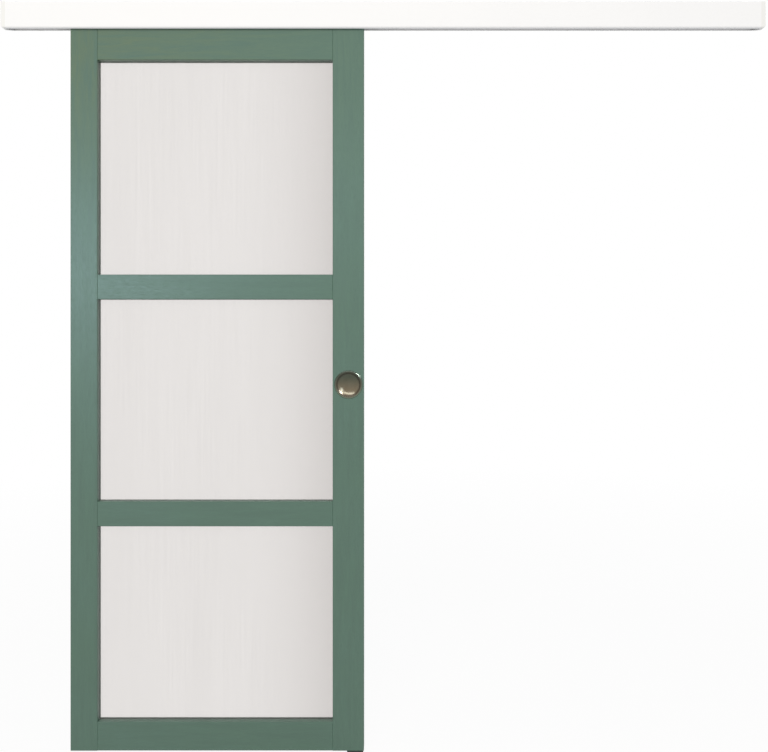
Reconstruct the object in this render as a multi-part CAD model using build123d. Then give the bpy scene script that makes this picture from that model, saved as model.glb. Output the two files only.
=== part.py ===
# Glazed sliding door, hung from a wall-fixed track under a white cover.
# Millimetres. X runs along the track, +Z is up, and the wall is the plane Y = 0.
# The room is on the -Y side. The origin is on the wall, at the middle of the track's fixing holes.
import os
from math import sqrt

from build123d import *

# Door leaf: widths of the uprights and of the glass between them, then heights from the bottom up
left_stile_width = 76.0
sight_width = 662.0
right_stile_width = 88.0
bottom_rail_height = 81.0
lower_pane_height = 550.0
lower_mid_rail_height = 70.0
middle_pane_height = 569.0
upper_mid_rail_height = 70.0
upper_pane_height = 604.0
top_rail_height = 96.0
leaf_thickness = 40.0
leaf_arris = 1.5

# Where the closed leaf hangs
leaf_wall_gap = 18.0
leaf_right_edge = -54.0
leaf_drop = 22.0
floor_gap = 7.0
leaf_travel = 780.0

# Mouldings and glazing
bevel_width = 1.5
bevel_depth = 1.5
rebate_width = 7.0
bead_depth = 9.0
glass_thickness = 4.0
glass_edge_gap = 2.0
gasket_thickness = 1.0
gasket_lip = 0.4
setting_block_length = 40.0
setting_block_inset = 110.0
joint_groove = 0.8

# Pins that fix the glazing beads
bead_pin_radius = 0.7
bead_pin_length = 15.0
bead_pins_per_bead = 3
bead_pin_clearance = 0.05

# Dowels between rails and stiles
dowel_radius = 5.0
dowel_length = 90.0
dowel_pitch = 28.0
dowel_clearance = 0.1
dowel_end_space = 2.0

# Pull cups in the right stile
cup_rim_radius = 40.0
cup_rim_height = 2.4
cup_mouth_radius = 34.0
cup_depth = 12.0
cup_floor_radius = 29.0
cup_floor_fillet = 10.0
cup_wall = 1.2
cup_rim_edge_radius = 2.3
cup_mouth_edge_radius = 4.0
cup_edge_distance = 43.5
cup_height = 1030.0
cup_clearance = 0.4

# Track extrusion
track_length = 2120.0
track_wall = 2.5
track_top = 42.0
flange_drop = 16.0
top_plate_reach = 64.0
channel_inner_width = 26.0
channel_inner_height = 24.5
lip_width = 8.0
lip_thickness = 3.0
clip_fin_length = 8.0
clip_fin_thickness = 2.0

# Wall fixing holes, as distances between the holes of each pair
fixing_hole_radius = 3.25
fixing_spacings = (2000.0, 1200.0, 300.0)

# Track cover
cover_height = 75.6
cover_wall = 1.8
cover_depth = 68.0
cover_return = 14.0
cover_top_radius = 3.0
cover_bottom_radius = 6.0
clip_play = 0.2

# End caps
cap_width = 12.0
cap_wall = 2.0
cap_corner_radius = 9.0
cap_plug_reach = 14.0
cap_plug_wall = 1.6
cap_plug_play = 0.3

# Trolleys, wheels and axles
trolley_inset = 150.0
trolley_length = 72.0
trolley_thickness = 11.0
trolley_height = 16.0
trolley_lip_gap = 4.0
trolley_corner = 3.0
axle_offset = 22.0
axle_radius = 2.0
axle_head_radius = 3.2
axle_head_thickness = 0.8
axle_head_gap = 0.2
wheel_radius = 11.0
wheel_width = 6.0
wheel_gap = 0.3
wheel_edge_radius = 0.8
wheel_side_gap = 1.0
bearing_radius = 5.0
bearing_width = 4.0
bearing_race = 1.1
bearing_shield_depth = 0.3
running_clearance = 0.04
seat_clearance = 0.02
end_float = 0.1
spacer_radius = 3.0

# Hanger bolts, nuts and plates
bolt_radius = 4.0
bolt_engagement = 13.0
bolt_head_flats = 13.0
bolt_head_height = 5.3
lock_nut_height = 6.5
thread_clearance = 0.05
plate_length = 70.0
plate_width = 30.0
plate_metal = 2.5
plate_rise = 8.0
plate_bridge = 35.0
plate_slot_width = 8.6
plate_screw_offset = 26.5
plate_screw_pitch = 16.0
wood_screw_radius = 2.0
wood_screw_length = 30.0
wood_screw_head_radius = 4.0
wood_screw_head_height = 2.6
screw_clearance = 0.25
pilot_clearance = 0.1

# End stops
stop_length = 36.0
stop_height = 12.0
stop_side_play = 1.0
stop_tongue_play = 0.3
stop_plate_thickness = 4.0
stop_plate_width = 22.0
stop_screw_offset = 10.0
stop_screw_radius = 2.5
stop_screw_head_radius = 4.25
stop_screw_head_height = 4.0
stop_screw_engagement = 10.0
buffer_radius = 5.0
buffer_length = 8.0
buffer_stem_radius = 2.5
buffer_stem_length = 6.0
buffer_gap = 0.3

# Floor guide and its groove
groove_width = 8.0
groove_depth = 18.0
guide_centre = -79.0
guide_base_length = 46.0
guide_base_width = 36.0
guide_base_thickness = 3.0
guide_base_corner = 5.0
guide_fin_length = 30.0
guide_fin_play = 0.8
guide_fin_top_gap = 3.0
guide_fin_round = 2.0
guide_hole_radius = 2.25
guide_hole_pitch = 24.0

# How far a cutting tool runs past the face that it cuts
overrun = 1.0

# Levels and places that follow from the sizes above
rail_heights = {
    "bottom_rail": bottom_rail_height,
    "lower_mid_rail": lower_mid_rail_height,
    "upper_mid_rail": upper_mid_rail_height,
    "top_rail": top_rail_height,
}
pane_heights = {
    "bottom": lower_pane_height,
    "middle": middle_pane_height,
    "top": upper_pane_height,
}
leaf_width = left_stile_width + sight_width + right_stile_width
leaf_height = sum(rail_heights.values()) + sum(pane_heights.values())
leaf_top = -leaf_drop
leaf_bottom = leaf_top - leaf_height
leaf_left_edge = leaf_right_edge - leaf_width
sight_left = leaf_left_edge + left_stile_width
sight_right = sight_left + sight_width
sight_middle = (sight_left + sight_right) / 2
leaf_back = leaf_wall_gap
leaf_front = leaf_wall_gap + leaf_thickness
leaf_middle = (leaf_back + leaf_front) / 2
floor_level = leaf_bottom - floor_gap

glass_back = leaf_middle - glass_thickness / 2
glass_front = leaf_middle + glass_thickness / 2
bead_front = glass_back - gasket_thickness
bead_back = bead_front - bead_depth

cup_x = leaf_right_edge - cup_edge_distance
cup_z = leaf_bottom + cup_height
rebate_front = glass_front + gasket_thickness

channel_middle = leaf_middle
channel_back = channel_middle - channel_inner_width / 2
channel_front = channel_middle + channel_inner_width / 2
channel_ceiling = track_top - track_wall
lip_top = channel_ceiling - channel_inner_height
track_bottom = lip_top - lip_thickness
slot_width = channel_inner_width - 2 * lip_width
cover_top = track_top + cover_wall
cover_bottom = cover_top - cover_height
flange_bottom = -flange_drop
cover_inside = cover_depth - cover_wall
track_end = track_length / 2

axle_level = lip_top + wheel_gap + wheel_radius
trolley_bottom = lip_top + trolley_lip_gap
buffer_level = trolley_bottom + buffer_radius
trolley_places = {
    "left": leaf_left_edge + trolley_inset,
    "right": leaf_right_edge - trolley_inset,
}
plate_bridge_under = leaf_top + plate_rise
plate_bridge_top = plate_bridge_under + plate_metal


def rect(depth_from, depth_to, z_from, z_to):
    """A rectangle in a section across the track, from its limits in depth from the wall and in height."""
    middle = Pos((depth_from + depth_to) / 2, (z_from + z_to) / 2)
    return middle * Rectangle(depth_to - depth_from, z_to - z_from)


def along_track(section, x_from, x_to):
    """A section of (depth, height) drawn out along the track between two places."""
    plane = Plane(origin=(x_to, 0, 0), x_dir=(0, -1, 0), z_dir=(-1, 0, 0))
    return extrude(plane * section, amount=x_to - x_from)


def block(x_from, x_to, depth_from, depth_to, z_from, z_to):
    """A block from its limits, with depth measured from the wall into the room."""
    centre = Pos((x_from + x_to) / 2, -(depth_from + depth_to) / 2, (z_from + z_to) / 2)
    return centre * Box(x_to - x_from, depth_to - depth_from, z_to - z_from)


def upright_rod(x, depth, z_from, z_to, radius):
    """A round bar standing on end."""
    return Pos(x, -depth, (z_from + z_to) / 2) * Cylinder(radius, z_to - z_from)


def rod_along_track(x_from, x_to, depth, z, radius):
    """A round bar lying along the track."""
    middle = Pos((x_from + x_to) / 2, -depth, z)
    return middle * Rot(0, 90, 0) * Cylinder(radius, x_to - x_from)


def rod_from_wall(x, depth_from, depth_to, z, radius):
    """A round bar square to the wall."""
    middle = Pos(x, -(depth_from + depth_to) / 2, z)
    return middle * Rot(90, 0, 0) * Cylinder(radius, depth_to - depth_from)


def hexagon(x, depth, z_from, z_to, flats):
    """A hexagonal head or nut standing on end."""
    plane = Plane(origin=(x, -depth, z_from))
    return extrude(plane * RegularPolygon(flats / sqrt(3), 6), amount=z_to - z_from)


def corner_of(section, across, up):
    """The corner of a section that lies nearest to a point."""
    return section.vertices().sort_by_distance((across, up, 0))[0]


def solids_of(shapes):
    """Separate solids kept together as one sub-part."""
    return Compound(children=[solid for shape in shapes for solid in shape.solids()])


def save(name, shape):
    """Write one sub-part."""
    shape.label = name
    export_step(shape, f"parts/{name}.step")


# Heights of the rails and of the glass openings, from the bottom of the leaf up
def stack_levels():
    """The lower and upper limits of every rail and every opening."""
    rails = {}
    panes = {}
    level = leaf_bottom
    openings = list(pane_heights)
    for number, (rail, height) in enumerate(rail_heights.items()):
        rails[rail] = (level, level + height)
        level += height
        if number < len(openings):
            panes[openings[number]] = (level, level + pane_heights[openings[number]])
            level += pane_heights[openings[number]]
    return rails, panes


rail_levels, pane_levels = stack_levels()


def opening_slice(pane, growth, depth):
    """The outline of an opening, grown all round, as a face at one depth."""
    z_from, z_to = pane_levels[pane]
    plane = Plane(
        origin=(sight_middle, -depth, (z_from + z_to) / 2), x_dir=(1, 0, 0), z_dir=(0, -1, 0)
    )
    return plane * Rectangle(sight_width + 2 * growth, z_to - z_from + 2 * growth)


def bevel_cutter(pane, face, outward):
    """The flared tool that bevels the edges of an opening, with its corners mitred."""
    flare = bevel_width * (bevel_depth + overrun) / bevel_depth
    wide = opening_slice(pane, flare, face + outward * overrun)
    narrow = opening_slice(pane, 0, face - outward * bevel_depth)
    return loft([wide, narrow], ruled=True)


def rebate_cutter(pane):
    """The step on the back of the frame that takes the glass and its beads."""
    z_from, z_to = pane_levels[pane]
    return block(
        sight_left - rebate_width,
        sight_right + rebate_width,
        leaf_back - overrun,
        rebate_front,
        z_from - rebate_width,
        z_to + rebate_width,
    )


def guide_groove():
    """The groove along the foot of the leaf."""
    return block(
        leaf_left_edge - overrun,
        leaf_right_edge + overrun,
        leaf_middle - groove_width / 2,
        leaf_middle + groove_width / 2,
        leaf_bottom - overrun,
        leaf_bottom + groove_depth,
    )


def dowel_heights(rail):
    """The heights of a rail's two dowels, centred on the wood between its rebates."""
    z_from, z_to = rail_levels[rail]
    lowest = z_from + (groove_depth if rail == "bottom_rail" else rebate_width)
    highest = z_to - (wood_screw_length if rail == "top_rail" else rebate_width)
    middle = (lowest + highest) / 2
    return [middle - dowel_pitch / 2, middle + dowel_pitch / 2]


def dowel_places():
    """Every dowel, as the joint it crosses and its height."""
    return [
        (joint, height)
        for joint in (sight_left, sight_right)
        for rail in rail_levels
        for height in dowel_heights(rail)
    ]


def dowel_holes():
    """Holes for all dowels, through both halves of each joint."""
    half = dowel_length / 2 + dowel_end_space
    radius = dowel_radius + dowel_clearance
    return [
        rod_along_track(joint - half, joint + half, leaf_middle, height, radius)
        for joint, height in dowel_places()
    ]


def joint_grooves():
    """The fine V along each joint between a rail and a stile, front and back."""
    grooves = []
    for joint in (sight_left, sight_right):
        for z_from, z_to in rail_levels.values():
            for face in (leaf_back, leaf_front):
                prism = Box(joint_groove * sqrt(2), joint_groove * sqrt(2), z_to - z_from)
                place = Pos(joint, -face, (z_from + z_to) / 2)
                grooves.append(place * Rot(0, 0, 45) * prism)
    return grooves


def bead_pins(pane, head_end, radius, length):
    """The pins of one pane's beads, driven square into the frame from head_end inside the opening."""
    z_from, z_to = pane_levels[pane]
    depth = (bead_front + bead_back) / 2
    pins = []
    for number in range(bead_pins_per_bead):
        share = (number + 0.5) / bead_pins_per_bead
        x = sight_left + share * sight_width
        z = z_from + share * (z_to - z_from)
        pins += [
            rod_along_track(sight_left - length, sight_left + head_end, depth, z, radius),
            rod_along_track(sight_right - head_end, sight_right + length, depth, z, radius),
            upright_rod(x, depth, z_from - length, z_from + head_end, radius),
            upright_rod(x, depth, z_to - head_end, z_to + length, radius),
        ]
    return pins


def bead_pin_holes(pane):
    """Holes for one pane's pins, through the beads and on into the frame."""
    radius = bead_pin_radius + bead_pin_clearance
    return bead_pins(pane, overrun, radius, bead_pin_length + bead_pin_clearance)


frame_cutters = (
    [bevel_cutter(pane, leaf_front, 1) for pane in pane_levels]
    + [rebate_cutter(pane) for pane in pane_levels]
    + [hole for pane in pane_levels for hole in bead_pin_holes(pane)]
    + dowel_holes()
    + joint_grooves()
)


def stile(x_from, x_to, outer_side):
    """An upright of the leaf, with its outer long edges eased."""
    plan = Pos((x_from + x_to) / 2, -leaf_middle) * Rectangle(x_to - x_from, leaf_thickness)
    outer = plan.vertices().group_by(Axis.X)[outer_side]
    plan = fillet(outer, leaf_arris)
    return extrude(Plane(origin=(0, 0, leaf_bottom)) * plan, amount=leaf_height)


def pull_cup_pockets():
    """The two round pockets that the pull cups sit in."""
    radius = cup_mouth_radius + cup_wall + cup_clearance
    depth = cup_depth + cup_wall + cup_clearance
    return [
        rod_from_wall(cup_x, leaf_back - overrun, leaf_back + depth, cup_z, radius),
        rod_from_wall(cup_x, leaf_front - depth, leaf_front + overrun, cup_z, radius),
    ]


def rail(name):
    """A crosspiece of the leaf, between the two uprights."""
    z_from, z_to = rail_levels[name]
    section = rect(leaf_back, leaf_front, z_from, z_to)
    if name == "top_rail":
        section = fillet(section.vertices().group_by(Axis.Y)[-1], leaf_arris)
    if name == "bottom_rail":
        section = fillet(section.vertices().group_by(Axis.Y)[0], leaf_arris)
    return along_track(section, sight_left, sight_right)


def build_leaf_frame():
    """Stiles and rails, with their rebates, bevels, grooves and holes."""
    left = stile(leaf_left_edge, sight_left, 0) - frame_cutters - guide_groove()
    right = stile(sight_right, leaf_right_edge, -1) - frame_cutters - guide_groove()
    save("stile_left", left)
    save("stile_right", right - pull_cup_pockets())
    for name in rail_levels:
        crosspiece = rail(name) - frame_cutters
        if name == "bottom_rail":
            crosspiece -= guide_groove()
        if name == "top_rail":
            crosspiece -= plate_pilot_holes()
        save(name, crosspiece)
    half = dowel_length / 2
    dowels = [
        rod_along_track(joint - half, joint + half, leaf_middle, height, dowel_radius)
        for joint, height in dowel_places()
    ]
    save("frame_dowels", solids_of(dowels))


def bead_strips(pane):
    """Four mitred beads that hold one pane from behind, low in their rebate and bevelled like the front."""
    z_from, z_to = pane_levels[pane]
    half_width = sight_width / 2
    half_height = (z_to - z_from) / 2
    outer_width = half_width + rebate_width
    outer_height = half_height + rebate_width
    plane = Plane(
        origin=(sight_middle, -bead_back, (z_from + z_to) / 2), x_dir=(1, 0, 0), z_dir=(0, -1, 0)
    )
    strips = []
    for side in (-1, 1):
        level_strip = Polygon(
            (-outer_width, side * outer_height),
            (outer_width, side * outer_height),
            (half_width, side * half_height),
            (-half_width, side * half_height),
            align=None,
        )
        upright_strip = Polygon(
            (side * outer_width, -outer_height),
            (side * outer_width, outer_height),
            (side * half_width, half_height),
            (side * half_width, -half_height),
            align=None,
        )
        for outline in (level_strip, upright_strip):
            strips.append(extrude(plane * outline, dir=(0, -1, 0), amount=bead_depth))
    cutters = [bevel_cutter(pane, bead_back, -1)] + bead_pin_holes(pane)
    return [strip - cutters for strip in strips]


def gasket_ring(pane, depth_from):
    """A flat rubber frame between the glass and the wood, with its lip in sight."""
    ring = opening_slice(pane, rebate_width - glass_edge_gap, depth_from)
    ring -= opening_slice(pane, -gasket_lip, depth_from)
    return extrude(ring, dir=(0, -1, 0), amount=gasket_thickness)


def build_glazing():
    """Glass, gaskets, setting blocks, beads and their pins."""
    blocks = []
    pins = []
    for pane, (z_from, z_to) in pane_levels.items():
        bite = rebate_width - glass_edge_gap
        glass = block(
            sight_left - bite, sight_right + bite, glass_back, glass_front, z_from - bite, z_to + bite
        )
        save(f"glass_{pane}", glass)
        gaskets = [gasket_ring(pane, glass_front), gasket_ring(pane, bead_front)]
        save(f"gaskets_{pane}", solids_of(gaskets))
        save(f"glazing_beads_{pane}", solids_of(bead_strips(pane)))
        pins += bead_pins(pane, 0, bead_pin_radius, bead_pin_length)
        for x in (sight_left + setting_block_inset, sight_right - setting_block_inset):
            half = setting_block_length / 2
            floor_of_rebate = z_from - rebate_width
            blocks.append(
                block(
                    x - half,
                    x + half,
                    bead_front,
                    rebate_front,
                    floor_of_rebate,
                    floor_of_rebate + glass_edge_gap,
                )
            )
    save("setting_blocks", solids_of(blocks))
    save("bead_pins", solids_of(pins))


def pull_cup(face, facing):
    """A spun steel cup: a domed rim that lies on the wood and a round-cornered bowl sunk behind it."""
    bowl_floor = (cup_floor_radius, -cup_depth)
    mouth = (cup_mouth_radius, cup_rim_height)
    rim_edge = (cup_rim_radius, cup_rim_height)
    bowl_underside = (cup_floor_radius + cup_wall, -cup_depth - cup_wall)
    outline = [
        (0, -cup_depth),
        bowl_floor,
        mouth,
        rim_edge,
        (cup_rim_radius, 0),
        (cup_mouth_radius + cup_wall, 0),
        bowl_underside,
        (0, -cup_depth - cup_wall),
    ]
    section = Polygon(*outline, align=None)
    rounded_corners = (
        (bowl_floor, cup_floor_fillet),
        (bowl_underside, cup_floor_fillet + cup_wall),
        (rim_edge, cup_rim_edge_radius),
        (mouth, cup_mouth_edge_radius),
    )
    for corner, radius in rounded_corners:
        section = fillet(corner_of(section, *corner), radius)
    cup = revolve(Plane.XZ * section, axis=Axis.Z)
    seat = Plane(origin=(cup_x, -face, cup_z), x_dir=(1, 0, 0), z_dir=(0, facing, 0))
    return seat.location * cup


def track_section():
    """Wall flange, top plate, C channel with its lips, and the fin that the cover clips to."""
    wall_line = channel_back - track_wall
    front_line = channel_front + track_wall
    section = rect(0, track_wall, flange_bottom, track_top)
    section += rect(0, top_plate_reach, channel_ceiling, track_top)
    section += rect(wall_line, channel_back, track_bottom, track_top)
    section += rect(channel_front, front_line, track_bottom, track_top)
    section += rect(wall_line, channel_back + lip_width, track_bottom, lip_top)
    section += rect(channel_front - lip_width, front_line, track_bottom, lip_top)
    fin_top = track_bottom + clip_fin_thickness
    section += rect(channel_front, front_line + clip_fin_length, track_bottom, fin_top)
    return section


def build_track():
    """The track, cut to length and drilled for its wall fixings."""
    track = along_track(track_section(), -track_end, track_end)
    for spacing in fixing_spacings:
        for side in (-1, 1):
            track -= rod_from_wall(
                side * spacing / 2, -overrun, track_wall + overrun, 0, fixing_hole_radius
            )
    save("track", track)


def cover_section():
    """The cover: front wall, top return, curled lower edge and two clip ribs."""
    outer = rect(cover_depth - cover_return, cover_depth, cover_bottom, cover_top)
    outer = fillet(corner_of(outer, cover_depth, cover_top), cover_top_radius)
    outer = fillet(corner_of(outer, cover_depth, cover_bottom), cover_bottom_radius)
    back_line = cover_depth - cover_return
    curl_top = cover_bottom + cover_wall
    inner = rect(back_line - overrun, cover_inside, curl_top, track_top)
    inner = fillet(corner_of(inner, cover_inside, curl_top), cover_bottom_radius - cover_wall)
    inner = fillet(corner_of(inner, cover_inside, track_top), cover_top_radius - cover_wall)
    curl_end = cover_depth - cover_bottom_radius
    below = rect(back_line - overrun, curl_end, cover_bottom - overrun, curl_top)
    section = outer - inner - below
    upper_rib = channel_ceiling - clip_play
    section += rect(
        top_plate_reach - cover_wall, cover_inside + cover_wall / 2, upper_rib - cover_wall, upper_rib
    )
    lower_rib = track_bottom + clip_fin_thickness + clip_play
    rib_reach = channel_front + track_wall + clip_fin_length / 2
    section += rect(rib_reach, cover_inside + cover_wall / 2, lower_rib, lower_rib + cover_wall)
    return section


def cap_profile():
    """The cap seen along the track, sloping up below from the cover's foot to the wall flange."""
    return Polygon(
        (0, flange_bottom),
        (cover_depth - cover_return, cover_bottom),
        (cover_depth, cover_bottom),
        (cover_depth, cover_top),
        (0, cover_top),
        align=None,
    )


def end_cap(side):
    """A moulded cap over one end of track and cover, held by a hollow plug in the channel."""
    inner_x = side * track_end
    outer_x = side * (track_end + cap_width)
    low_x, high_x = sorted((inner_x, outer_x))
    profile = fillet(corner_of(cap_profile(), cover_depth, cover_top), cover_top_radius)
    profile = fillet(corner_of(profile, cover_depth, cover_bottom), cover_bottom_radius)
    body = along_track(profile, low_x, high_x)
    face = Pos((low_x + high_x) / 2, (cover_bottom + cover_top) / 2)
    face *= Rectangle(cap_width, cover_height)
    face = fillet(corner_of(face, outer_x, cover_bottom), cap_corner_radius)
    face = fillet(corner_of(face, outer_x, cover_top), cover_top_radius)
    body &= extrude(Plane.XZ * face, amount=cover_depth)
    hollow_x = sorted((inner_x - side * overrun, outer_x - side * cap_wall))
    hollow = offset(cap_profile(), amount=-cap_wall, kind=Kind.INTERSECTION)
    body -= along_track(hollow, *hollow_x)
    plug_x = sorted((inner_x - side * cap_plug_reach, outer_x - side * cap_wall))
    plug = block(
        *plug_x,
        channel_back + cap_plug_play,
        channel_front - cap_plug_play,
        lip_top + cap_plug_play,
        channel_ceiling - cap_plug_play,
    )
    inner_play = cap_plug_play + cap_plug_wall
    bore_x = sorted((inner_x - side * (cap_plug_reach + overrun), outer_x - side * cap_wall))
    plug -= block(
        *bore_x,
        channel_back + inner_play,
        channel_front - inner_play,
        lip_top + inner_play,
        channel_ceiling - inner_play,
    )
    return body + plug


def trolley_body(x):
    """A die-cast carriage with its spacer bosses, axle bores and bolt thread."""
    half = trolley_length / 2
    side = trolley_thickness / 2
    plan = Pos(x, -channel_middle) * Rectangle(trolley_length, trolley_thickness)
    plan = fillet(plan.vertices(), trolley_corner)
    body = extrude(Plane(origin=(0, 0, trolley_bottom)) * plan, amount=trolley_height)
    boss = bearing_inner_face() - end_float
    for axle_x in axle_places(x):
        body += rod_from_wall(
            axle_x, channel_middle - boss, channel_middle + boss, axle_level, spacer_radius
        )
        body -= rod_from_wall(
            axle_x,
            channel_middle - boss - overrun,
            channel_middle + boss + overrun,
            axle_level,
            axle_radius + seat_clearance,
        )
    thread_end = trolley_bottom + bolt_engagement + overrun
    body -= upright_rod(
        x, channel_middle, trolley_bottom - overrun, thread_end, bolt_radius + thread_clearance
    )
    return body


def axle_places(x):
    """The two axles of the trolley that hangs at x."""
    return [x - axle_offset, x + axle_offset]


def wheel_outer_face():
    """The outer face of a wheel, as a distance from the middle of the channel."""
    return channel_inner_width / 2 - wheel_side_gap


def bearing_inner_face():
    """The inner face of a bearing, as a distance from the middle of the channel."""
    return bearing_outer_face() - bearing_width


def bearing_outer_face():
    """The outer face of a bearing, as a distance from the middle of the channel."""
    return wheel_outer_face() - axle_head_gap - axle_head_thickness - axle_head_gap


def axle(x):
    """An axle with a riveted head outside each wheel."""
    head_inner = bearing_outer_face() + axle_head_gap
    head_outer = head_inner + axle_head_thickness
    shank = rod_from_wall(
        x, channel_middle - head_inner, channel_middle + head_inner, axle_level, axle_radius
    )
    for side in (-1, 1):
        near, far = sorted((channel_middle + side * head_inner, channel_middle + side * head_outer))
        shank += rod_from_wall(x, near, far, axle_level, axle_head_radius)
    return shank


def wheel_tyre(x, side):
    """A nylon wheel with eased edges and a seat for its bearing."""
    outer = wheel_outer_face()
    inner = outer - wheel_width
    seat = bearing_radius + seat_clearance
    section = Pos((seat + wheel_radius) / 2, (inner + outer) / 2)
    section *= Rectangle(wheel_radius - seat, wheel_width)
    section = fillet(section.vertices().group_by(Axis.X)[-1], wheel_edge_radius)
    return place_on_axle(revolve(Plane.XZ * section, axis=Axis.Z), x, side)


def wheel_bearing(x, side):
    """A ball bearing: inner and outer rings with the shields set back between them."""
    outer = bearing_outer_face()
    inner = bearing_inner_face()
    bore = axle_radius + running_clearance
    middle = (inner + outer) / 2
    section = Pos((bore + bearing_radius) / 2, middle)
    section *= Rectangle(bearing_radius - bore, bearing_width)
    shield_width = bearing_radius - bore - 2 * bearing_race
    for face in (inner, outer):
        recess = Rectangle(shield_width, 2 * bearing_shield_depth)
        section -= Pos((bore + bearing_radius) / 2, face) * recess
    return place_on_axle(revolve(Plane.XZ * section, axis=Axis.Z), x, side)


def place_on_axle(shape, x, side):
    """Turn a shape made about the vertical so that it sits on an axle, at the back or the front."""
    seat = Plane(
        origin=(x, -channel_middle, axle_level), x_dir=(1, 0, 0), z_dir=(0, -side, 0)
    )
    return seat.location * shape


def hanger_bolt(x):
    """A hexagon bolt, head down, from the hanger plate into the trolley."""
    head = hexagon(
        x, channel_middle, plate_bridge_under - bolt_head_height, plate_bridge_under, bolt_head_flats
    )
    top = trolley_bottom + bolt_engagement
    return head + upright_rod(x, channel_middle, plate_bridge_under, top, bolt_radius)


def lock_nut(x):
    """The nut that locks the bolt on top of the hanger plate."""
    nut = hexagon(
        x, channel_middle, plate_bridge_top, plate_bridge_top + lock_nut_height, bolt_head_flats
    )
    hole = upright_rod(
        x,
        channel_middle,
        plate_bridge_top - overrun,
        plate_bridge_top + lock_nut_height + overrun,
        bolt_radius + thread_clearance,
    )
    return nut - hole


def plate_screw_places(x):
    """The four wood screws of the plate at x, as (x, depth)."""
    return [
        (x + side * plate_screw_offset, channel_middle + row * plate_screw_pitch / 2)
        for side in (-1, 1)
        for row in (-1, 1)
    ]


def hanger_plate(x):
    """A folded steel plate: two feet on the leaf and a raised, slotted bridge for the bolt head."""
    back = channel_middle - plate_width / 2
    front = channel_middle + plate_width / 2
    half = plate_length / 2
    leg = plate_bridge / 2
    plate = block(x - half, x + half, back, front, leaf_top, leaf_top + plate_metal)
    plate += block(x - leg, x + leg, back, front, leaf_top, plate_bridge_top)
    plate -= block(
        x - leg + plate_metal,
        x + leg - plate_metal,
        back - overrun,
        front + overrun,
        leaf_top - overrun,
        plate_bridge_under,
    )
    slot_radius = plate_slot_width / 2
    plate -= block(
        x - slot_radius,
        x + slot_radius,
        channel_middle,
        front + overrun,
        plate_bridge_under - overrun,
        plate_bridge_top + overrun,
    )
    plate -= upright_rod(
        x, channel_middle, plate_bridge_under - overrun, plate_bridge_top + overrun, slot_radius
    )
    for screw_x, depth in plate_screw_places(x):
        plate -= upright_rod(
            screw_x,
            depth,
            leaf_top - overrun,
            leaf_top + plate_metal + overrun,
            wood_screw_radius + screw_clearance,
        )
    return plate


def plate_pilot_holes():
    """The holes in the top rail for the wood screws."""
    depth_below = wood_screw_length - plate_metal + overrun
    return [
        upright_rod(
            screw_x,
            depth,
            leaf_top - depth_below,
            leaf_top + overrun,
            wood_screw_radius + pilot_clearance,
        )
        for x in trolley_places.values()
        for screw_x, depth in plate_screw_places(x)
    ]


def wood_screw(x, depth):
    """A pan-head wood screw, upright, through the plate into the top rail."""
    seat = leaf_top + plate_metal
    shank = upright_rod(x, depth, seat - wood_screw_length, seat, wood_screw_radius)
    head = upright_rod(x, depth, seat, seat + wood_screw_head_height, wood_screw_head_radius)
    head = fillet(head.edges().sort_by(Axis.Z)[-1], wood_screw_head_height / 2)
    return shank + head


def build_hanging_gear():
    """Both trolleys with their axles, wheels, bolts, nuts and plates."""
    axles = []
    screws = []
    for name, x in trolley_places.items():
        save(f"trolley_{name}", trolley_body(x))
        save(f"hanger_plate_{name}", hanger_plate(x))
        screws += [wood_screw(screw_x, depth) for screw_x, depth in plate_screw_places(x)]
        for number, axle_x in enumerate(axle_places(x), start=1):
            axles.append(axle(axle_x))
            for side_name, side in (("back", -1), ("front", 1)):
                save(f"wheel_{name}_{number}_{side_name}", wheel_tyre(axle_x, side))
                save(f"bearing_{name}_{number}_{side_name}", wheel_bearing(axle_x, side))
    save("trolley_axles", solids_of(axles))
    save("hanger_bolts", solids_of([hanger_bolt(x) for x in trolley_places.values()]))
    save("lock_nuts", solids_of([lock_nut(x) for x in trolley_places.values()]))
    save("plate_screws", solids_of(screws))


def stop_faces():
    """Where each buffer's face stands, and which way it looks, when the leaf is at its limits."""
    half = trolley_length / 2 + buffer_gap
    return {
        "left": (trolley_places["left"] - half, 1),
        "right": (trolley_places["right"] + leaf_travel + half, -1),
    }


def stop_screw_places(face, looks):
    """The two screws of an end stop."""
    middle = face - looks * (buffer_length + stop_length / 2)
    return [middle - stop_screw_offset, middle + stop_screw_offset]


def stop_block(face, looks):
    """The upper half of an end stop: a block on the lips with a tongue in the slot."""
    near = face - looks * buffer_length
    x_from, x_to = sorted((near, near - looks * stop_length))
    stop = block(
        x_from,
        x_to,
        channel_back + stop_side_play,
        channel_front - stop_side_play,
        lip_top,
        lip_top + stop_height,
    )
    half_tongue = slot_width / 2 - stop_tongue_play
    stop += block(
        x_from,
        x_to,
        channel_middle - half_tongue,
        channel_middle + half_tongue,
        track_bottom,
        lip_top,
    )
    for x in stop_screw_places(face, looks):
        stop -= upright_rod(
            x,
            channel_middle,
            track_bottom - overrun,
            track_bottom + stop_screw_engagement,
            stop_screw_radius + thread_clearance,
        )
    stem_x = sorted((near + looks * overrun, near - looks * buffer_stem_length))
    stop -= rod_along_track(*stem_x, channel_middle, buffer_level, buffer_stem_radius)
    return stop


def stop_clamp(face, looks):
    """The lower half of an end stop, drawn up against the lips by its screws."""
    near = face - looks * buffer_length
    x_from, x_to = sorted((near, near - looks * stop_length))
    half = stop_plate_width / 2
    clamp = block(
        x_from,
        x_to,
        channel_middle - half,
        channel_middle + half,
        track_bottom - stop_plate_thickness,
        track_bottom,
    )
    for x in stop_screw_places(face, looks):
        clamp -= upright_rod(
            x,
            channel_middle,
            track_bottom - stop_plate_thickness - overrun,
            track_bottom + overrun,
            stop_screw_radius + screw_clearance,
        )
    return clamp


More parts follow.
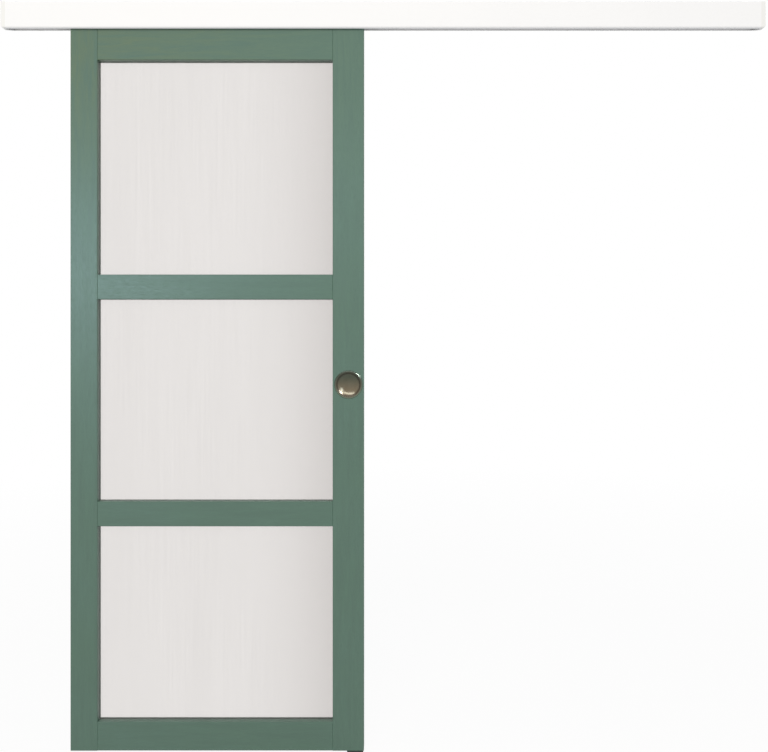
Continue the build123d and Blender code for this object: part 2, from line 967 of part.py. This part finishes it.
def stop_screw(x):
    """A cap screw, head down, through the clamp into the block."""
    seat = track_bottom - stop_plate_thickness
    top = track_bottom + stop_screw_engagement - overrun
    head = upright_rod(
        x, channel_middle, seat - stop_screw_head_height, seat, stop_screw_head_radius
    )
    return head + upright_rod(x, channel_middle, seat, top, stop_screw_radius)


def stop_buffer(face, looks):
    """A rubber buffer with its stem pressed into the stop block."""
    back = face - looks * buffer_length
    puck_x = sorted((back, face))
    stem_x = sorted((back, back - looks * (buffer_stem_length - overrun)))
    puck = rod_along_track(*puck_x, channel_middle, buffer_level, buffer_radius)
    stem_radius = buffer_stem_radius - seat_clearance
    return puck + rod_along_track(*stem_x, channel_middle, buffer_level, stem_radius)


def build_stops():
    """Both end stops."""
    screws = []
    for name, (face, looks) in stop_faces().items():
        save(f"stop_block_{name}", stop_block(face, looks))
        save(f"stop_clamp_{name}", stop_clamp(face, looks))
        save(f"stop_buffer_{name}", stop_buffer(face, looks))
        screws += [stop_screw(x) for x in stop_screw_places(face, looks)]
    save("stop_screws", solids_of(screws))


def floor_guide():
    """A base plate on the floor, with a rounded fin that stands in the leaf's groove."""
    plan = Pos(guide_centre, -leaf_middle) * Rectangle(guide_base_length, guide_base_width)
    plan = fillet(plan.vertices(), guide_base_corner)
    guide = extrude(Plane(origin=(0, 0, floor_level)) * plan, amount=guide_base_thickness)
    half_fin = guide_fin_length / 2
    half_width = groove_width / 2 - guide_fin_play
    fin = block(
        guide_centre - half_fin,
        guide_centre + half_fin,
        leaf_middle - half_width,
        leaf_middle + half_width,
        floor_level,
        leaf_bottom + groove_depth - guide_fin_top_gap,
    )
    fin = fillet(fin.edges().filter_by(Axis.X).group_by(Axis.Z)[-1], guide_fin_round)
    guide += fin
    for side in (-1, 1):
        guide -= upright_rod(
            guide_centre,
            leaf_middle + side * guide_hole_pitch / 2,
            floor_level - overrun,
            floor_level + guide_base_thickness + overrun,
            guide_hole_radius,
        )
    return guide


os.makedirs("parts", exist_ok=True)
build_leaf_frame()
build_glazing()
save("pull_cup_front", pull_cup(leaf_front, -1))
save("pull_cup_back", pull_cup(leaf_back, 1))
build_track()
save("track_cover", along_track(cover_section(), -track_end, track_end))
save("end_cap_left", end_cap(-1))
save("end_cap_right", end_cap(1))
build_hanging_gear()
build_stops()
save("floor_guide", floor_guide())
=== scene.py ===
# Hanging glazed door: a painted leaf with three etched panes, rolling in a track on the wall.
import math

import bmesh
import bpy
from mathutils import Matrix, Vector


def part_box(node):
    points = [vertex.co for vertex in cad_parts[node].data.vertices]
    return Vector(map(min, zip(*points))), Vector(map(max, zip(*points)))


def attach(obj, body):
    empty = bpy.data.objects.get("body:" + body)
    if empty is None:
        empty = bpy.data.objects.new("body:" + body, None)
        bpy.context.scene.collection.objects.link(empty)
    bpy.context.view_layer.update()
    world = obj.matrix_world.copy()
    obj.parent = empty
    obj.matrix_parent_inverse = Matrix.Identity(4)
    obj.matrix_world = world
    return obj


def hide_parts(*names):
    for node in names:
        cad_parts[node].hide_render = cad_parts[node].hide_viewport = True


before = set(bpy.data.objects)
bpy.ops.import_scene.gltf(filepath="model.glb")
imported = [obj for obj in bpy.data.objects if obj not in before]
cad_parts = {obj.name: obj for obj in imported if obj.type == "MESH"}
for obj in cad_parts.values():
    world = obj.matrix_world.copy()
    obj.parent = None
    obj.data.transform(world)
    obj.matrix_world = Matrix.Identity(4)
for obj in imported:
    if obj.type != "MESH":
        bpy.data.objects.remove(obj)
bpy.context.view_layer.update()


# The track: one aluminium extrusion, white powder coated, screwed to the wall.
# Its flange stands on the wall, and the trolleys run on the two lips of its channel.
# The coat shows faint lines along the extrusion and a fine orange peel.

class Link:
    """A node's output, with sums on it written as Python expressions."""

    def __init__(self, finish, output):
        self.finish = finish
        self.output = output

    def sum(self, operation, first, second):
        return self.finish.node("ShaderNodeMath", {"operation": operation}, {0: first, 1: second})

    def __add__(self, other):
        return self.sum("ADD", self, other)

    def __radd__(self, other):
        return self.sum("ADD", other, self)

    def __sub__(self, other):
        return self.sum("SUBTRACT", self, other)

    def __rsub__(self, other):
        return self.sum("SUBTRACT", other, self)

    def __mul__(self, other):
        return self.sum("MULTIPLY", self, other)

    def __rmul__(self, other):
        return self.sum("MULTIPLY", other, self)

    def __gt__(self, other):
        return self.sum("GREATER_THAN", self, other)

    def __lt__(self, other):
        return self.sum("LESS_THAN", self, other)


class Finish:
    """A node tree, filled by plain calls: a new material's if it has a name, or one given to it."""

    def __init__(self, name=None, tree=None):
        if name:
            self.material = bpy.data.materials.new(name)
            self.material.use_nodes = True
            tree = self.material.node_tree
            self.surface = tree.nodes["Principled BSDF"]
            self.end = tree.nodes["Material Output"]
        self.tree = tree

    def set(self, node, sockets):
        """Gives a node's sockets their values and links."""
        for name, value in sockets.items():
            if isinstance(value, Link):
                self.tree.links.new(value.output, node.inputs[name])
            else:
                node.inputs[name].default_value = value

    def node(self, kind, settings=None, sockets=None, output=0):
        """A new node with its settings and sockets, as a link from one output."""
        made = self.tree.nodes.new(kind)
        for name, value in (settings or {}).items():
            setattr(made, name, value)
        self.set(made, sockets or {})
        return Link(self, made.outputs[output])

    def where(self, stretch=(1, 1, 1), shift=(0, 0, 0)):
        """Object coordinates, moved by shift and then stretched."""
        place = self.node("ShaderNodeTexCoord", output="Object")
        moved = self.node("ShaderNodeVectorMath", {"operation": "ADD"}, {0: place, 1: shift})
        return self.node("ShaderNodeMapping", {}, {"Vector": moved, "Scale": stretch})

    def along(self, axis, place=None):
        """How far a point lies along an axis."""
        return self.node("ShaderNodeSeparateXYZ", {}, {0: place or self.where()}, output=axis)

    def distance(self, place):
        """How far a point lies from the origin."""
        return self.node("ShaderNodeVectorMath", {"operation": "LENGTH"}, {0: place}, "Value")

    def noise(self, scale, detail, rough=0.5, stretch=(1, 1, 1), twist=0.0, shift=(0, 0, 0)):
        sockets = {"Vector": self.where(stretch, shift), "Scale": scale, "Detail": detail,
                   "Roughness": rough, "Distortion": twist}
        return self.node("ShaderNodeTexNoise", {}, sockets)

    def ramp(self, value, low, high):
        """Value carried from low..high to 0..1, held at both ends."""
        return self.node("ShaderNodeMapRange", {"clamp": True}, {0: value, 1: low, 2: high})

    def mix(self, share, first, second):
        """From the first colour to the second, which are the Mix node's sockets 6 and 7."""
        ends = {6: (*first, 1) if isinstance(first, tuple) else first,
                7: (*second, 1) if isinstance(second, tuple) else second}
        return self.node("ShaderNodeMix", {"data_type": "RGBA"}, {0: share, **ends}, output=2)

    def bumps(self, height, depth, strength=1.0):
        sockets = {"Height": height, "Distance": depth, "Strength": strength}
        return self.node("ShaderNodeBump", {}, sockets)

    def coat(self, *nodes):
        """Gives this finish to CAD nodes."""
        for name in nodes:
            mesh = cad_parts[name].data
            mesh.materials.clear()
            mesh.materials.append(self.material)


def powder_coat(name, colour, shade, gloss):
    finish = Finish(name)
    cloud = finish.noise(6.0, detail=3.0)
    peel = finish.noise(1400.0, detail=1.5)
    draw_lines = finish.noise(900.0, detail=2.0, rough=0.6, stretch=(0.004, 1, 1))
    tone = finish.ramp(cloud + 0.5 * draw_lines, 0.45, 1.05)
    finish.set(finish.surface, {
        "Base Color": finish.mix(tone, shade, colour),
        "Roughness": gloss + 0.14 * (peel - 0.5) + 0.06 * (cloud - 0.5),
        "Normal": finish.bumps(0.75 * peel + 0.25 * draw_lines, depth=0.00003, strength=0.8),
        "Specular IOR Level": 0.45,
    })
    return finish


track_white = powder_coat("track powder coat", (0.88, 0.88, 0.89), (0.86, 0.86, 0.87), gloss=0.38)
track_white.coat("track")


# The end stops: cast blocks inside the channel, each drawn down on the lips by a steel clamp plate
# and two socket screws, with a rubber buffer pressed into the side that meets the trolley.

def plated_steel(name, colour, shade, gloss):
    finish = Finish(name)
    cloud = finish.noise(60.0, detail=4.0, rough=0.6, twist=0.6)
    grit = finish.noise(2200.0, detail=3.0, rough=0.6)
    finish.set(finish.surface, {
        "Base Color": finish.mix(finish.ramp(cloud, 0.3, 0.7), shade, colour),
        "Metallic": 1.0,
        "Roughness": gloss + 0.25 * (cloud - 0.5) + 0.1 * (grit - 0.5),
        "Normal": finish.bumps(grit, depth=0.00002, strength=0.5),
    })
    return finish


def cast_metal(name, colour, shade, gloss):
    finish = Finish(name)
    flow = finish.noise(90.0, detail=5.0, rough=0.65, twist=0.8)
    grain = finish.node("ShaderNodeTexVoronoi", {"feature": "F1"},
                        {"Vector": finish.where(), "Scale": 1600.0})
    finish.set(finish.surface, {
        "Base Color": finish.mix(finish.ramp(flow, 0.35, 0.7), shade, colour),
        "Metallic": 1.0,
        "Roughness": gloss + 0.2 * (flow - 0.5) + 0.15 * grain,
        "Normal": finish.bumps(grain + 0.6 * flow, depth=0.00006, strength=0.7),
    })
    return finish


def moulded(name, colour, shade, gloss, grain_depth=0.00003, grain_scale=1100.0):
    finish = Finish(name)
    cloud = finish.noise(14.0, detail=3.0)
    grain = finish.noise(grain_scale, detail=3.0, rough=0.55)
    finish.set(finish.surface, {
        "Base Color": finish.mix(finish.ramp(cloud, 0.3, 0.7), shade, colour),
        "Roughness": gloss + 0.16 * (grain - 0.5) + 0.08 * (cloud - 0.5),
        "Normal": finish.bumps(grain, grain_depth, strength=0.8),
        "Specular IOR Level": 0.45,
    })
    return finish


zinc_plate = plated_steel("bright zinc plate", (0.62, 0.63, 0.64), (0.50, 0.50, 0.49), gloss=0.34)
zinc_plate.coat("stop_clamp_left", "stop_clamp_right", "stop_screws")
die_cast = cast_metal("die cast zinc", (0.46, 0.47, 0.48), (0.36, 0.37, 0.38), gloss=0.46)
die_cast.coat("stop_block_left", "stop_block_right")
buffer_rubber = moulded("buffer rubber", (0.035, 0.034, 0.033), (0.024, 0.024, 0.024), gloss=0.68,
                        grain_depth=0.00006, grain_scale=800.0)
buffer_rubber.coat("stop_buffer_left", "stop_buffer_right")


# The cover: an extruded aluminium pelmet that clips over the front of the track, powder coated, and
# two moulded end caps whose plugs push into the channel. All are white, the caps a shade smoother.

cover_white = powder_coat("cover powder coat", (0.905, 0.905, 0.94), (0.895, 0.895, 0.93),
                          gloss=0.36)
cover_white.coat("track_cover")
cap_white = moulded("end cap plastic", (0.86, 0.86, 0.865), (0.84, 0.84, 0.85), gloss=0.33)
cap_white.coat("end_cap_left", "end_cap_right")


# The floor guide: a dark nylon foot, moulded in one piece, with holes for two floor screws.
# Its fin stands in the groove under the leaf and keeps the leaf from swinging.

guide_nylon = moulded("guide nylon", (0.125, 0.125, 0.125), (0.10, 0.10, 0.10), gloss=0.5)
guide_nylon.coat("floor_guide")


# The leaf's frame: two full-height stiles and four rails in open-grained hardwood, dowelled and
# glued, with bevels routed round each opening. It is brushed with a satin grey-green paint, which
# shows pores and brush marks along each member. Its top left is tinted warmer: painted warm light.

def leaf_paint(name, grain):
    """Paint on wood. The grain is upright, level, or mitred, which is upright beside the panes."""
    finish = Finish(name)
    if grain == "mitred":
        bead_width = 0.007
        low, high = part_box("glazing_beads_middle")
        across = finish.along("X")
        beside_pane = (across < low.x + bead_width) + (across > high.x - bead_width)

    def drawn_out(scale, detail, rough, length, twist=0.0):
        """A noise drawn out along the grain."""
        stretches = {"upright": (1, 1, length), "level": (length, 1, 1)}
        if grain != "mitred":
            return finish.noise(scale, detail, rough, stretches[grain], twist)
        upright, level = [finish.noise(scale, detail, rough, stretch, twist)
                          for stretch in stretches.values()]
        return level + beside_pane * (upright - level)

    pores = finish.ramp(drawn_out(1500.0, detail=3.0, rough=0.65, length=0.03), 0.36, 0.52)
    figure = drawn_out(70.0, detail=4.0, rough=0.6, length=0.09, twist=0.9)
    brush = drawn_out(420.0, detail=2.0, rough=0.5, length=0.012)
    relief = 0.55 * pores + 0.3 * brush + 0.35 * figure
    cloud = finish.noise(3.2, detail=3.0, rough=0.55, shift=(4.0, 1.0, 2.0))
    # Painted warm light: the paint turns warmer and yellower towards the top left.
    warm_light_top = finish.ramp(finish.along("Z"), -0.55, -0.12)
    warm_light_left = finish.ramp(finish.along("X"), 0.10, -0.75)
    body = finish.mix(finish.ramp(cloud, 0.32, 0.68), (0.090, 0.170, 0.122), (0.096, 0.176, 0.142))
    body = finish.mix(warm_light_top * warm_light_left, body, (0.114, 0.168, 0.098))
    grained = finish.mix(finish.ramp(figure, 0.3, 0.72), (0.084, 0.152, 0.118), body)
    finish.set(finish.surface, {
        "Base Color": finish.mix(0.55 + 0.45 * pores, (0.070, 0.128, 0.100), grained),
        "Roughness": 0.37 + 0.12 * (brush - 0.5) + 0.10 * (1 - pores) + 0.10 * (cloud - 0.5),
        "Normal": finish.bumps(relief, depth=0.00011, strength=0.75),
        "Specular IOR Level": 0.5,
    })
    return finish


stiles = ("stile_left", "stile_right")
stile_paint = leaf_paint("leaf paint, stiles", "upright")
stile_paint.coat(*stiles)
rails = ("top_rail", "upper_mid_rail", "lower_mid_rail", "bottom_rail")
rail_paint = leaf_paint("leaf paint, rails", "level")
rail_paint.coat(*rails)


# The dowels: sixteen round beech pins, turned and left bare.
# They are glued into the ends of the rails and across the joints into the stiles.

def beech_wood(name):
    finish = Finish(name)
    rays = finish.noise(1300.0, detail=3.0, rough=0.6, stretch=(0.06, 1, 1))
    figure = finish.noise(120.0, detail=4.0, rough=0.6, stretch=(0.12, 1, 1), twist=0.8)
    tone = finish.ramp(0.6 * figure + 0.4 * rays, 0.35, 0.65)
    finish.set(finish.surface, {
        "Base Color": finish.mix(tone, (0.47, 0.29, 0.16), (0.62, 0.43, 0.26)),
        "Roughness": 0.62 + 0.15 * (rays - 0.5),
        "Normal": finish.bumps(rays, depth=0.0001, strength=0.6),
    })
    return finish


beech = beech_wood("turned beech")
beech.coat("frame_dowels")


# The panes: 4 mm glass, etched on both faces, so that it glows softly and shows only light and
# shade behind it. Faint upright streaks come from the acid running down the sheet. Each pane is
# painted darker towards its right edge, which is painted shade.

etched_glass = Finish("etched glass")
streaks = etched_glass.noise(260.0, detail=3.0, rough=0.55, stretch=(1, 1, 0.012))
wash = etched_glass.noise(9.0, detail=3.0, stretch=(1, 1, 0.12))
frost = etched_glass.noise(2600.0, detail=2.0)
pane_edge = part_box("glass_middle")[1].x
# Painted shade: each pane's colour darkens towards its right edge.
painted_shade_from, painted_shade_to = pane_edge - 0.26, pane_edge + 0.03
painted_shade_right = etched_glass.ramp(etched_glass.along("X") + 0.05 * wash, painted_shade_from, painted_shade_to)
etched_tone = etched_glass.mix(etched_glass.ramp(0.6 * streaks + 0.4 * wash, 0.38, 0.62),
                               (0.80, 0.775, 0.76), (0.83, 0.805, 0.79))
etched_glass.set(etched_glass.surface, {
    "Base Color": etched_glass.mix(painted_shade_right * painted_shade_right, etched_tone, (0.665, 0.635, 0.62)),
    "Roughness": 0.24 + 0.08 * (streaks - 0.5) + 0.08 * (frost - 0.5),
    "Normal": etched_glass.bumps(0.5 * frost + 0.5 * streaks, depth=0.00002, strength=0.5),
    "Transmission Weight": 0.95,
    "Specular IOR Level": 0.1,
    "IOR": 1.3,
})
etched_glass.coat("glass_top", "glass_middle", "glass_bottom")


# Gaskets and setting blocks: a soft grey rubber gasket lies on each face of each pane and shows
# as a hairline inside the bevels. Two black rubber blocks under each pane carry its weight.

seal_rubber = moulded("gasket rubber", (0.30, 0.32, 0.31), (0.24, 0.26, 0.25), gloss=0.62,
                      grain_depth=0.00005, grain_scale=900.0)
seal_rubber.coat("gaskets_top", "gaskets_middle", "gaskets_bottom")
buffer_rubber.coat("setting_blocks")


# The glazing beads: low mitred hardwood strips, bevelled and painted as the frame is.
# They are pinned into the rebates behind the panes.

bead_paint = leaf_paint("leaf paint, beads", "mitred")
bead_paint.coat("glazing_beads_top", "glazing_beads_middle", "glazing_beads_bottom")
zinc_plate.coat("bead_pins")


# The pull cups: round bowls spun from steel sheet, with the edge rolled over into a crown that lies
# on the wood, bronzed and polished on the lathe, and let into the right stile from both faces. The
# polish leaves rings. Painted reflection makes the top darker and the bottom lighter, and painted
# shade darkens the crease at the crown.

cup_low, cup_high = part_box("pull_cup_front")
cup_middle = (cup_low + cup_high) / 2
stile_low, stile_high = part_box("stile_right")
cup_sheet = 0.0012
cup_radius = (cup_high.x - cup_low.x) / 2
cup_rim_height = stile_low.y - cup_low.y
cup_depth = cup_high.y - stile_low.y - cup_sheet

# Bowl and crown are two arcs that meet in one tangent, and the crown's arc ends on the wood.
crown_radius = 0.005
crown_level = cup_rim_height - crown_radius
crown_reach = cup_radius - math.sqrt(crown_radius ** 2 - crown_level ** 2)
bowl_drop = cup_depth + crown_level
bowl_radius = ((crown_reach ** 2 + bowl_drop ** 2 - crown_radius ** 2)
               / (2 * (bowl_drop + crown_radius)))
bowl_turn = math.asin(crown_reach / (bowl_radius + crown_radius))
crown_turn = bowl_turn + math.acos(-crown_level / crown_radius)
bowl_steps, crown_steps, round_steps = 18, 12, 96
weld_distance = 0.000001
sharp_angle = math.radians(40)

# Where the painted reflection turns from dark above to light below, and how far out the crown
# and the crease's painted shade are.
reflection_from, reflection_to = 0.020, -0.026
crown_from, crown_to = 0.0345, 0.0365
crease_radius, crease_width = 0.0325, 0.004

cup_bronze = Finish("bronzed spun steel")
from_middle = cup_bronze.where(stretch=(1, 0, 1), shift=(-cup_middle.x, 0, -cup_middle.z))
radius = cup_bronze.distance(from_middle)
rings = cup_bronze.node("ShaderNodeTexNoise", {"noise_dimensions": "1D"},
                        {"W": radius, "Scale": 2600.0, "Detail": 3.0})
patina = cup_bronze.noise(45.0, detail=4.0, rough=0.6, twist=0.5)
tone = cup_bronze.ramp(0.7 * patina + 0.3 * rings, 0.35, 0.65)
height = cup_bronze.along("Z", from_middle) + 0.012 * (patina - 0.5)
# Painted reflection: bowl and crown go from dark at the top to lighter below, the crown greener.
painted_reflection = cup_bronze.ramp(height, reflection_from, reflection_to)
bowl_tone = cup_bronze.mix(
    painted_reflection,
    cup_bronze.mix(tone, (0.070, 0.080, 0.058), (0.102, 0.108, 0.081)),
    cup_bronze.mix(tone, (0.190, 0.146, 0.092), (0.245, 0.194, 0.132)))
crown_tone = cup_bronze.mix(painted_reflection, (0.085, 0.095, 0.072), (0.150, 0.185, 0.140))
bowl_and_crown_tone = cup_bronze.mix(cup_bronze.ramp(radius, crown_from, crown_to), bowl_tone, crown_tone)
# Painted shade: the crease between bowl and crown is darkened.
painted_crease_shade = (cup_bronze.ramp(radius, crease_radius - crease_width, crease_radius)
          * cup_bronze.ramp(radius, crease_radius + crease_width, crease_radius))
cup_bronze.set(cup_bronze.surface, {
    "Base Color": cup_bronze.mix(0.85 * painted_crease_shade, bowl_and_crown_tone, (0.040, 0.035, 0.029)),
    "Metallic": 1.0,
    "Roughness": 0.22 + 0.16 * (rings - 0.5) + 0.12 * (patina - 0.5),
    "Normal": cup_bronze.bumps(rings, depth=0.00001),
})


def spun_cup(name, node, face, facing):
    """The two arcs, spun round the cup's middle, given the sheet's thickness and set in a face."""
    low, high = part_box(node)
    cup = bmesh.new()
    middle = bmesh.ops.create_vert(cup, co=(0, 0, -cup_depth))["vert"]
    bowl = bmesh.ops.spin(cup, geom=middle, cent=(0, 0, bowl_radius - cup_depth), axis=(0, 1, 0),
                          angle=-bowl_turn, steps=bowl_steps)
    bowl_end = [part for part in bowl["geom_last"] if isinstance(part, bmesh.types.BMVert)]
    bmesh.ops.spin(cup, geom=bowl_end, cent=(crown_reach, 0, crown_level), axis=(0, 1, 0),
                   angle=crown_turn, steps=crown_steps)
    bmesh.ops.spin(cup, geom=cup.verts[:] + cup.edges[:], cent=(0, 0, 0), axis=(0, 0, 1),
                   angle=math.tau, steps=round_steps, use_merge=True)
    bmesh.ops.remove_doubles(cup, verts=cup.verts, dist=weld_distance)
    bmesh.ops.recalc_face_normals(cup, faces=cup.faces)
    lowest = min(cup.faces, key=lambda side: side.calc_center_median().z)
    if lowest.normal.z < 0:
        bmesh.ops.reverse_faces(cup, faces=cup.faces)
    bmesh.ops.solidify(cup, geom=cup.faces[:], thickness=cup_sheet)
    for side in cup.faces:
        side.smooth = True
    for edge in cup.edges:
        edge.smooth = edge.calc_face_angle(0) < sharp_angle
    seat = Matrix.Translation(((low.x + high.x) / 2, face, (low.z + high.z) / 2))
    turned = Matrix.Rotation(math.radians(90 * facing), 4, "X")
    bmesh.ops.transform(cup, matrix=seat @ turned, verts=cup.verts)
    mesh = bpy.data.meshes.new(name)
    cup.to_mesh(mesh)
    cup.free()
    mesh.materials.append(cup_bronze.material)
    piece = bpy.data.objects.new(name, mesh)
    bpy.context.scene.collection.objects.link(piece)
    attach(piece, "leaf")
    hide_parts(node)
    return piece


cup_front = spun_cup("spun_cup_front", "pull_cup_front", face=stile_low.y, facing=1)
cup_back = spun_cup("spun_cup_back", "pull_cup_back", face=stile_high.y, facing=-1)


# The hanging gear: a bent plate screwed to each end of the leaf's top, a hanger bolt up through it
# with a lock nut, and a cast trolley on the bolt that runs inside the channel. Plates, screws,
# bolts, nuts and axles are zinc plated.

zinc_plate.coat("hanger_plate_left", "hanger_plate_right", "plate_screws", "hanger_bolts",
                "lock_nuts", "trolley_axles")
die_cast.coat("trolley_left", "trolley_right")


# The wheels: four to a trolley, a nylon tyre moulded round a small ball bearing.
# The bearing's rings are ground steel, and it turns on the trolley's axle.

tyre_nylon = moulded("wheel nylon", (0.76, 0.75, 0.70), (0.69, 0.68, 0.63), gloss=0.42)
ground_steel = plated_steel("ground bearing steel", (0.64, 0.64, 0.65), (0.55, 0.55, 0.56),
                            gloss=0.2)
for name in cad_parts:
    if name.startswith("wheel_"):
        tyre_nylon.coat(name)
    if name.startswith("bearing_"):
        ground_steel.coat(name)


# The room: a pale floor just under the guide, which takes the door's shadow, and plain white all
# round. The floor glows white for the camera, and more so far off. Seen from below, it is clear.

def light_path(finish):
    """Whether a ray comes from the camera, from a gloss or through glass."""
    return [finish.node("ShaderNodeLightPath", output=name)
            for name in ("Is Camera Ray", "Is Glossy Ray", "Is Transmission Ray")]


scene = bpy.context.scene
scene.view_settings.view_transform = "Standard"

floor_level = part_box("floor_guide")[0].z
floor_gap = 0.0005
slab = bmesh.new()
bmesh.ops.create_grid(slab, x_segments=1, y_segments=1, size=6.0)
bmesh.ops.translate(slab, verts=slab.verts, vec=(0, 0, floor_level - floor_gap))
floor_mesh = bpy.data.meshes.new("floor")
slab.to_mesh(floor_mesh)
slab.free()
floor = bpy.data.objects.new("floor", floor_mesh)
scene.collection.objects.link(floor)

floor_finish = Finish("pale floor")
speckle = floor_finish.noise(3.0, detail=4.0)
floor_finish.set(floor_finish.surface, {
    "Base Color": floor_finish.mix(speckle, (0.76, 0.76, 0.76), (0.80, 0.80, 0.80)),
    "Roughness": 0.9,
    "Specular IOR Level": 0.1,
})
painted_floor = Link(floor_finish, floor_finish.surface.outputs[0])
white_glow = floor_finish.node("ShaderNodeEmission", {}, {"Color": (1, 1, 1, 1), "Strength": 1.0})
clear = floor_finish.node("ShaderNodeBsdfTransparent")
seen, mirrored, refracted = light_path(floor_finish)
near_glow = 0.94
far_from, far_to = 1.5, 5.0
far = floor_finish.ramp(floor_finish.distance(floor_finish.where((1, 1, 0))), far_from, far_to)
glow = seen * (near_glow + (1 - near_glow) * far) + 1 - (1 - mirrored) * (1 - refracted)
topside = floor_finish.node("ShaderNodeMixShader", {}, {0: glow, 1: painted_floor, 2: white_glow})
underside = floor_finish.node("ShaderNodeNewGeometry", output="Backfacing")
floor_finish.set(floor_finish.end, {
    "Surface": floor_finish.node("ShaderNodeMixShader", {}, {0: underside, 1: topside, 2: clear}),
})
floor_mesh.materials.append(floor_finish.material)

world = bpy.data.worlds.new("studio")
world.use_nodes = True
scene.world = world
air = Finish(tree=world.node_tree)
seen, mirrored, refracted = light_path(air)
unseen = (1 - seen) * (1 - mirrored) * (1 - refracted)
sky = air.mix(unseen, (1.0, 1.0, 1.0), (0.60, 0.61, 0.625))
air.set(world.node_tree.nodes["Background"], {"Color": sky, "Strength": 1.0})


# The lamps: one large soft lamp high on the left lights everything, and shows as no highlight.
# Six windows light nothing and only show as sheen, two on the leaf's paint and four on the cups.

def lamp(name, place, target, size, power, colour, sheen_on=()):
    """A plain area lamp that glass doesn't show. With sheen_on, it only shines on those pieces."""
    light = bpy.data.lights.new(name, "AREA")
    light.shape = "RECTANGLE"
    light.size, light.size_y = size
    light.energy = power
    light.color = colour
    holder = bpy.data.objects.new(name, light)
    holder.location = place
    holder.rotation_euler = (Vector(target) - Vector(place)).to_track_quat("-Z", "Y").to_euler()
    holder.visible_diffuse = not sheen_on
    holder.visible_glossy = bool(sheen_on)
    holder.visible_camera = False
    holder.visible_transmission = False
    scene.collection.objects.link(holder)
    if sheen_on:
        shining = bpy.data.collections.new(name)
        for piece in sheen_on:
            shining.objects.link(piece)
        holder.light_linking.receiver_collection = shining


lamp("softbox", place=(-0.9, -5.5, 3.0), target=(-0.3, 0, -1.0), size=(3.0, 3.0),
     power=215.0, colour=(1.0, 0.955, 0.815))

painted = [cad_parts[name] for name in stiles + rails]
lamp("left window", place=(-1.60, -2.75, -0.53), target=(-0.76, 0, -0.71), size=(0.5, 0.6),
     power=23.0, colour=(0.62, 0.84, 1.0), sheen_on=painted)
lamp("front window", place=(-0.2, -2.75, 0.0), target=(-0.1, 0, -0.43), size=(0.25, 0.4),
     power=5.0, colour=(0.70, 0.97, 1.0), sheen_on=painted)

cups = [cup_front, cup_back]
cup_spot = (-0.1, 0, -1.03)
lamp("right window", place=(2.88, -2.47, 1.05), target=cup_spot, size=(1.1, 1.5),
     power=24.0, colour=(0.66, 0.83, 1.0), sheen_on=cups)
lamp("roof window", place=(-0.5, -2.19, 2.93), target=cup_spot, size=(5.8, 0.9),
     power=80.0, colour=(0.70, 0.84, 1.0), sheen_on=cups)
lamp("corner window", place=(1.80, -1.10, 0.80), target=cup_spot, size=(1.0, 1.0),
     power=11.0, colour=(0.70, 0.84, 1.0), sheen_on=cups)
lamp("side window", place=(1.95, -0.25, 1.1), target=cup_spot, size=(0.7, 1.0),
     power=220.0, colour=(0.86, 0.90, 1.0), sheen_on=cups)


# The camera: square on to the door from 2.4 m, a little above the middle of the leaf.
# Its picture is shifted slightly, so that the track lies along the top.

camera_data = bpy.data.cameras.new("camera")
camera_data.sensor_width = 36.0
camera_data.lens = 39.98
camera_data.shift_y = -0.0646
camera = bpy.data.objects.new("camera", camera_data)
camera.location = (0.0025, -2.458, -0.868)
camera.rotation_euler = (math.radians(90), 0, 0)
scene.collection.objects.link(camera)
scene.camera = camera
